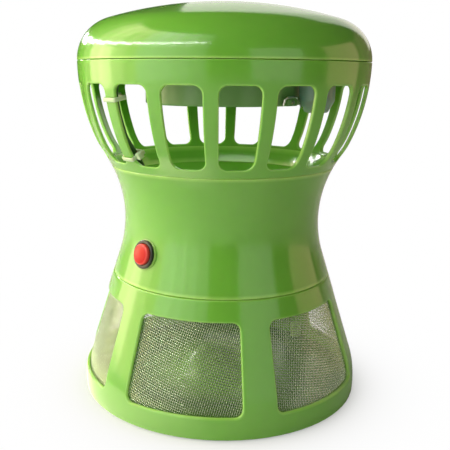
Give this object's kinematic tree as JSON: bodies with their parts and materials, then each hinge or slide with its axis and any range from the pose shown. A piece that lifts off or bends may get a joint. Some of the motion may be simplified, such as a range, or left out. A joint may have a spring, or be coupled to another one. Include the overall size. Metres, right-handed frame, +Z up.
{
  "type": "insect trap",
  "caption": "Hourglass fan trap for insects: domed cap with lamp and lure over a ribbed cage, fan in the waist, mesh-windowed catch basket below.",
  "frame": {"origin": "middle of the footprint, on the surface the trap stands on", "axes": "+Z up along the axis of the trap; -Y is the front that the camera sees, +X its right"},
  "size_m": [0.1996, 0.1996, 0.2711],
  "materials": {
    "green_shell": "glossy moulded",
    "dark_plastic": "satin moulded",
    "black_plastic": "satin moulded",
    "lamp_plastic": "smooth",
    "motor_can": "plated",
    "steel": "zinc plated",
    "chrome_wire": "bright",
    "steel_mesh": "woven wire",
    "circuit_board": "solder mask",
    "led_resin": "clear resin",
    "clear_lens": "clear",
    "red_button": "glossy",
    "lead_jacket": "matt",
    "white_nylon": "satin",
    "vial_plastic": "milky translucent",
    "lure_rubber": "matt",
    "rubber_foot": "matt"
  },
  "bodies": {
    "catch_basket": {"basket_shell": "green_shell", "mesh_screen_1": "steel_mesh", "mesh_screen_2": "steel_mesh", "mesh_screen_3": "steel_mesh", "mesh_screen_4": "steel_mesh", "mesh_screen_5": "steel_mesh", "mesh_screen_6": "steel_mesh", "bottom_tray": "green_shell", "tray_screws": "steel", "rubber_feet": "rubber_foot"},
    "fan_unit": {"waist_shell": "green_shell", "cage_grille": "green_shell", "intake_funnel": "green_shell", "funnel_screws": "steel", "fan_housing": "dark_plastic", "fan_screws": "steel", "fan_motor": "motor_can", "driver_board": "circuit_board", "board_screws": "steel", "switch_bezel": "black_plastic", "switch_nut": "black_plastic", "switch_body": "black_plastic", "dc_socket": "black_plastic", "dc_socket_nut": "steel", "terminal_block": "black_plastic", "lamp_lead": "lead_jacket", "lead_plug": "black_plastic", "cable_ties": "white_nylon"},
    "fan_rotor": {"impeller": "dark_plastic", "motor_shaft": "steel"},
    "button": {"push_button": "red_button"},
    "cap": {"cap_shell": "green_shell", "lamp_housing": "lamp_plastic", "lamp_lens": "clear_lens", "led_board": "circuit_board", "uv_leds": "led_resin", "housing_screws": "steel", "lead_socket": "black_plastic", "clip_block": "lamp_plastic", "wire_clip": "chrome_wire", "clip_screw": "steel"},
    "lure": {"lure_vial": "vial_plastic", "vial_stopper": "white_nylon", "lure_plug": "lure_rubber"}
  },
  "joints": [
    {"name": "fan_unit_lift", "type": "slide", "parent": "catch_basket", "child": "fan_unit", "axis": [0, 0, 1], "range_m": [0, 0.04]},
    {"name": "rotor_spin", "type": "hinge", "parent": "fan_unit", "child": "fan_rotor", "pos_m": [0, 0, 0.108], "axis": [0, 0, 1], "continuous": true},
    {"name": "button_press", "type": "slide", "parent": "fan_unit", "child": "button", "axis": [0.6793, 0.701, -0.2171], "range_m": [0, 0.0025], "stiffness_N_per_m": 600, "springref_m": -0.001},
    {"name": "cap_lift", "type": "slide", "parent": "fan_unit", "child": "cap", "axis": [0, 0, 1], "range_m": [0, 0.07]},
    {"name": "lure_pull", "type": "slide", "parent": "cap", "child": "lure", "axis": [0, 0, -1], "range_m": [0, 0.024]}
  ]
}
